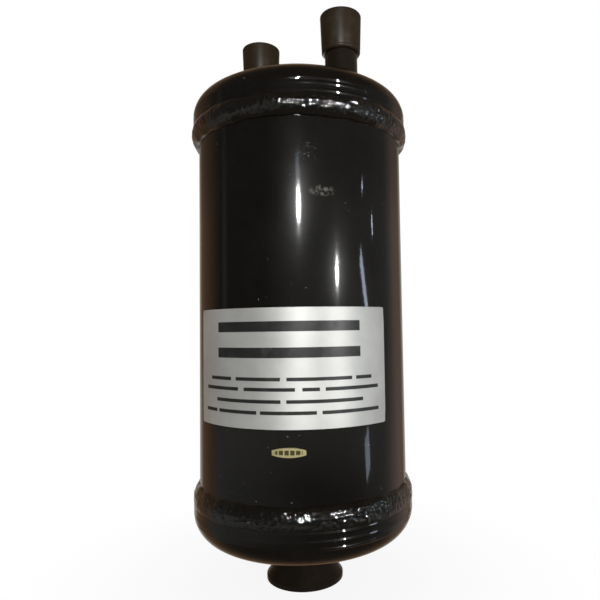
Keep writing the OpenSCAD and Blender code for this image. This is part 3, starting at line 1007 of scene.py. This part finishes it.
# Cool window strips: height on the shell, the two ends' bearings in degrees, width and power
STRIPS = (
    ("front_strip", 0.185, (-3.5, 18.6), (-3.0, 16.2), 0.08, 0.022),
    ("window_strip", 0.130, (66.8, 8.9), (75.9, 0.8), 0.06, 0.36),
    ("upper_strip", 0.175, (71.0, 15.9), (71.2, 14.7), 0.025, 0.03),
    ("side_strip", 0.160, (84.0, 12.4), (85.0, 10.0), 0.02, 0.05),
    ("lower_strip", 0.070, (71.0, -10.6), (73.0, -15.4), 0.12, 0.11),
    ("rear_strip", 0.130, (177.5, 14.0), (176.0, -15.0), 0.06, 0.50),
)
WINDOW = (0.72, 0.82, 1.0)

# Plain colours of the room that the gloss shows
PALE = (0.42, 0.40, 0.36)
BROWN = (0.20, 0.115, 0.065)
ROSE = (0.36, 0.275, 0.24)
GREY = (0.16, 0.165, 0.155)
SHADE = (0.045, 0.045, 0.040)
LEDGE = (0.26, 0.26, 0.24)
WALL_TOP = (0.05, 0.04, 0.033)
CEILING_FRONT = (0.05, 0.040, 0.031)
CEILING_BACK = (0.21, 0.125, 0.066)
WHITE = (1.0, 1.0, 1.0)

# Walls of the room at eye level and below it, by bearing in degrees
WALLS = (
    (-180, PALE), (-158, PALE), (-145, BROWN), (-116, BROWN), (-97, SHADE), (-91, GREY),
    (-86, SHADE), (-38, SHADE), (-10, GREY), (106, GREY), (123, ROSE), (145, BROWN),
    (153, PALE), (180, PALE),
)
LOW_WALLS = (
    (-180, PALE), (-151, PALE), (-141, BROWN), (-118, BROWN), (-103, GREY), (-45, GREY),
    (4, SHADE), (30, SHADE), (95, GREY), (114, ROSE), (128, ROSE), (144, BROWN),
    (152, PALE), (180, PALE),
)

FLOOR_R, FLOOR_RIM = 1.5, 0.5


def bearing(azimuth, elevation):
    """Direction from the vessel, in degrees: azimuth 0 is to the front, positive to its right."""
    a, e = math.radians(azimuth), math.radians(elevation)
    return Vector((math.sin(a) * math.cos(e), -math.cos(a) * math.cos(e), math.sin(e)))


def wall_colour(tree, turn, stops):
    """Colour by bearing, its stops in degrees from behind round the front to behind."""
    node = add_node(tree, "ValToRGB", {"Fac": turn})
    places = node.color_ramp.elements
    places.remove(places[-1])
    for i, (degrees, colour) in enumerate(stops):
        place = degrees / 360 + 0.5
        stop = places[0] if i == 0 else places.new(place)
        stop.position = place
        stop.color = (*colour, 1)
    return node.outputs["Color"]


def shell_point(azimuth, height):
    """Point on the shell that mirrors light from an azimuth to the front."""
    # Less than half of the light's azimuth, because the camera is near
    turn = math.radians(azimuth) / 2.2
    return Vector((SHELL_R * math.sin(turn), -SHELL_R * math.cos(turn), height))


def add_lamp(name, at, look_at, size, power, colour=WHITE, along=None):
    """A round lamp, or a strip with its long side along a direction."""
    deselect()
    bpy.ops.object.light_add(type="AREA", location=at)
    lamp = named(name)
    lamp.data.energy = power
    lamp.data.color = colour
    lamp.data.size = size
    lamp.data.shape = "RECTANGLE" if along else "DISK"
    if along:
        lamp.data.size_y = along.length
    facing = (look_at - at).normalized()
    upright = along.normalized() if along else Vector((0, 0, 1))
    across = upright.cross(-facing).normalized()
    turned = Matrix((across, (-facing).cross(across), -facing)).transposed()
    lamp.rotation_euler = turned.to_euler()


def add_floor(scene):
    """Pale round floor that keeps a faint shadow, and is clear from below."""
    deselect()
    bpy.ops.mesh.primitive_circle_add(vertices=96, radius=FLOOR_R, fill_type="NGON")
    floor = named("floor")
    edit(floor)
    bpy.ops.mesh.inset(thickness=FLOOR_RIM)
    leave_edit()
    material = bpy.data.materials.new("pale_floor")
    material.use_nodes = True
    tree = material.node_tree
    shader = tree.nodes["Principled BSDF"]
    fill(tree, shader, {"Base Color": (*scene.accumulator_colours.floor, 1), "Roughness": 0.9})
    seen = add_node(tree, "LightPath").outputs["Is Camera Ray"]
    white = add_node(tree, "Emission", {"Color": (*WHITE, 1), "Strength": 1.0}).outputs[0]
    away = add_node(tree, "VectorMath", {0: surface_place(tree)}, operation="LENGTH")
    fade = ranged(tree, away.outputs["Value"], 0.02, 0.16, 0.88, 1.0)
    both = add_node(tree, "MixShader", {0: math_of(tree, "MULTIPLY", seen, fade),
                                        1: shader.outputs[0], 2: white}).outputs[0]
    under = add_node(tree, "NewGeometry").outputs["Backfacing"]
    clear = add_node(tree, "BsdfTransparent").outputs[0]
    sided = add_node(tree, "MixShader", {0: under, 1: both, 2: clear}).outputs[0]
    fill(tree, tree.nodes["Material Output"], {"Surface": sided})
    floor.data.materials.append(material)
    floor.visible_glossy = False
    floor.visible_shadow = False


def light_room(scene):
    """White to the camera, soft and even on matte paint, and a dim brown room in the gloss."""
    world = scene.world = bpy.data.worlds.new("room")
    world.use_nodes = True
    tree = world.node_tree
    direction = add_node(tree, "TexCoord").outputs["Generated"]
    x, y, z = add_node(tree, "SeparateXYZ", {0: direction}).outputs
    azimuth = math_of(tree, "ARCTAN2", x, math_of(tree, "MULTIPLY", y, -1.0))
    turn = math_of(tree, "ADD", math_of(tree, "DIVIDE", azimuth, 2 * math.pi), 0.5)
    low = ranged(tree, z, -0.24, 0.02, 1, 0)
    wall = mixed(tree, low, wall_colour(tree, turn, WALLS), wall_colour(tree, turn, LOW_WALLS))
    from_ledge = math_of(tree, "ABSOLUTE", math_of(tree, "ADD", z, 0.185))
    ledge = math_of(tree, "MULTIPLY", ranged(tree, from_ledge, 0.0, 0.11, 0.9, 0),
                    ranged(tree, y, -0.25, 0.3, 1, 0))
    wall = mixed(tree, ledge, wall, LEDGE)
    wall = mixed(tree, ranged(tree, z, 0.16, 0.32, 0, 0.45), wall, WALL_TOP)
    ceiling = mixed(tree, ranged(tree, y, 0.0, 0.7), CEILING_FRONT, CEILING_BACK)
    high = ranged(tree, math_of(tree, "ABSOLUTE", z), 0.42, 0.75)
    room = mixed(tree, high, wall, ceiling)
    path = add_node(tree, "LightPath").outputs
    seen = math_of(tree, "MAXIMUM", path["Is Camera Ray"], path["Is Transmission Ray"])
    soft = (scene.accumulator_stage.room_light,) * 3
    lit = mixed(tree, path["Is Glossy Ray"], soft, room)
    background = tree.nodes["Background"]
    fill(tree, background, {"Color": mixed(tree, seen, lit, WHITE)})
    fill(tree, tree.nodes["World Output"], {"Surface": background.outputs[0]})


def add_camera(scene):
    """Camera at the photograph's viewing angle."""
    stage = scene.accumulator_stage
    deselect()
    bpy.ops.object.camera_add(location=stage.eye)
    camera = named("viewing_angle")
    turned = (Matrix.Rotation(stage.pan, 4, "Z")
              @ Matrix.Rotation(math.pi / 2 + stage.tilt, 4, "X")
              @ Matrix.Rotation(stage.roll, 4, "Z"))
    camera.rotation_euler = turned.to_euler()
    camera.data.sensor_fit = "HORIZONTAL"
    camera.data.sensor_width = 36
    camera.data.lens = stage.lens
    camera.data.shift_x = stage.shift
    camera.data.clip_start = 0.01
    scene.camera = camera


class ACCUMULATOR_OT_stage(bpy.types.Operator):
    """Set the floor, the lamps, the room and the camera"""

    bl_idname = "accumulator.stage"
    bl_label = "Stage"

    def execute(self, context):
        scene = context.scene
        stage = scene.accumulator_stage
        add_floor(scene)
        for name, level, spread, azimuth, elevation, height in LAMPS:
            target = shell_point(azimuth, height)
            add_lamp(name, target + stage.lamp_distance * bearing(azimuth, elevation), target,
                     spread * stage.lamp_size, level * stage.lamp_power)
        for name, height, start, end, width, power in STRIPS:
            target = shell_point((start[0] + end[0]) / 2, height)
            first = target + stage.lamp_distance * bearing(*start)
            last = target + stage.lamp_distance * bearing(*end)
            add_lamp(name, (first + last) / 2, target, width, power, WINDOW, last - first)
        light_room(scene)
        add_camera(scene)
        scene.view_settings.view_transform = "Standard"
        return {"FINISHED"}


OPERATORS = (
    ACCUMULATOR_OT_painted_steel,
    ACCUMULATOR_OT_pressed_heads,
    ACCUMULATOR_OT_girth_beads,
    ACCUMULATOR_OT_fillet_beads,
    ACCUMULATOR_OT_shipping_caps,
    ACCUMULATOR_OT_label,
    ACCUMULATOR_OT_sticker,
    ACCUMULATOR_OT_inner_parts,
    ACCUMULATOR_OT_stage,
)


class ACCUMULATOR_PT_sidebar(bpy.types.Panel):
    """The accumulator's sizes, colours and making, in the 3D view's sidebar"""

    bl_idname = "ACCUMULATOR_PT_sidebar"
    bl_label = "Accumulator"
    bl_space_type = "VIEW_3D"
    bl_region_type = "UI"
    bl_category = "Accumulator"

    def draw(self, context):
        for group, kind in GROUPS.items():
            box = self.layout.box()
            box.label(text=kind.__doc__)
            for name in kind.__annotations__:
                box.prop(getattr(context.scene, group), name)
        for operator in OPERATORS:
            self.layout.operator(operator.bl_idname)


CLASSES = (*GROUPS.values(), *OPERATORS, ACCUMULATOR_PT_sidebar)


def register():
    """Registers the classes and hangs their settings on the scene."""
    for kind in CLASSES:
        bpy.utils.register_class(kind)
    for name, kind in GROUPS.items():
        setattr(bpy.types.Scene, name, PointerProperty(type=kind))


def unregister():
    """Takes back what register did."""
    for name in GROUPS:
        delattr(bpy.types.Scene, name)
    for kind in reversed(CLASSES):
        bpy.utils.unregister_class(kind)


def main():
    """Makes every piece and the stage."""
    register()
    bpy.ops.accumulator.painted_steel()
    bpy.ops.accumulator.pressed_heads()
    bpy.ops.accumulator.girth_beads()
    bpy.ops.accumulator.fillet_beads()
    bpy.ops.accumulator.shipping_caps()
    bpy.ops.accumulator.label()
    bpy.ops.accumulator.sticker()
    bpy.ops.accumulator.inner_parts()
    bpy.ops.accumulator.stage()


if __name__ == "__main__":
    main()
